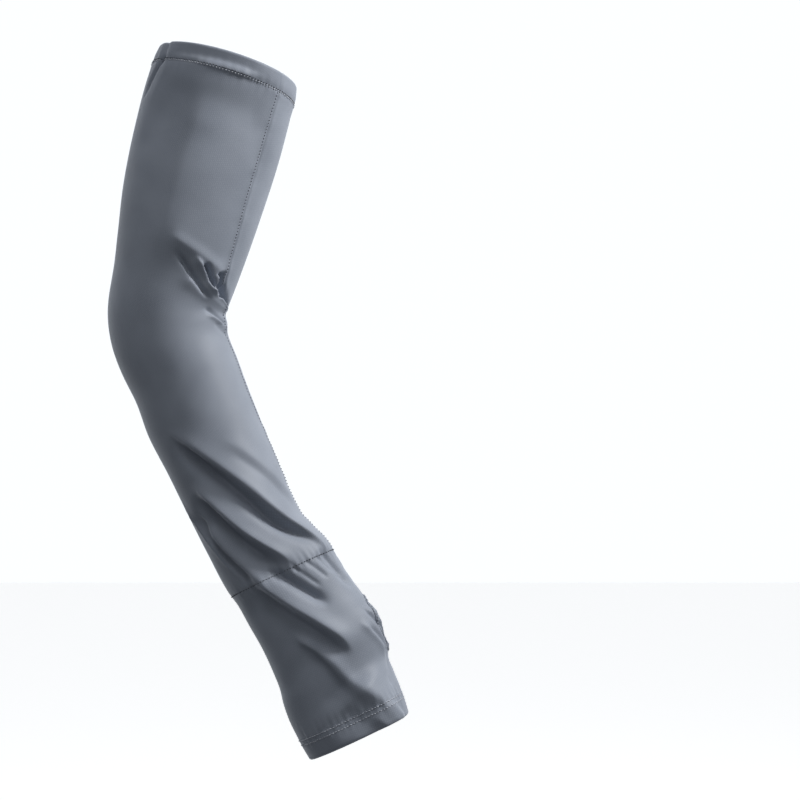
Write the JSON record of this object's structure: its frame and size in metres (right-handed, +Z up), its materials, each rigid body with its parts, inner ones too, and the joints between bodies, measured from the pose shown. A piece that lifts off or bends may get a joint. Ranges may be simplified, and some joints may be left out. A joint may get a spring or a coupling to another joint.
{
  "type": "arm sleeve",
  "caption": "Stretch knit arm sleeve from the upper arm over the wrist and hand, with a thumb hole, held in the form of a slightly bent arm.",
  "frame": {"origin": "middle of the opening for the upper arm, at the top rim", "axes": "+Z up towards the opening for the upper arm, along the hanging sleeve; -X towards the elbow; +X towards the hand end and the thumb hole; -Y towards the near side, which faces the viewer"},
  "size_m": [0.2071, 0.1216, 0.4896],
  "materials": {
    "sleeve_knit": "smooth stretch knit with a slight sheen",
    "hem_knit": "smooth stretch knit, folded double and stitched"
  },
  "bodies": {
    "root": {"top_band": "hem_knit", "upper_arm_panel": "sleeve_knit", "elbow_panel": "sleeve_knit", "forearm_panel": "sleeve_knit", "hand_panel": "sleeve_knit", "hand_hem": "hem_knit", "thumb_hem": "hem_knit"}
  },
  "joints": []
}
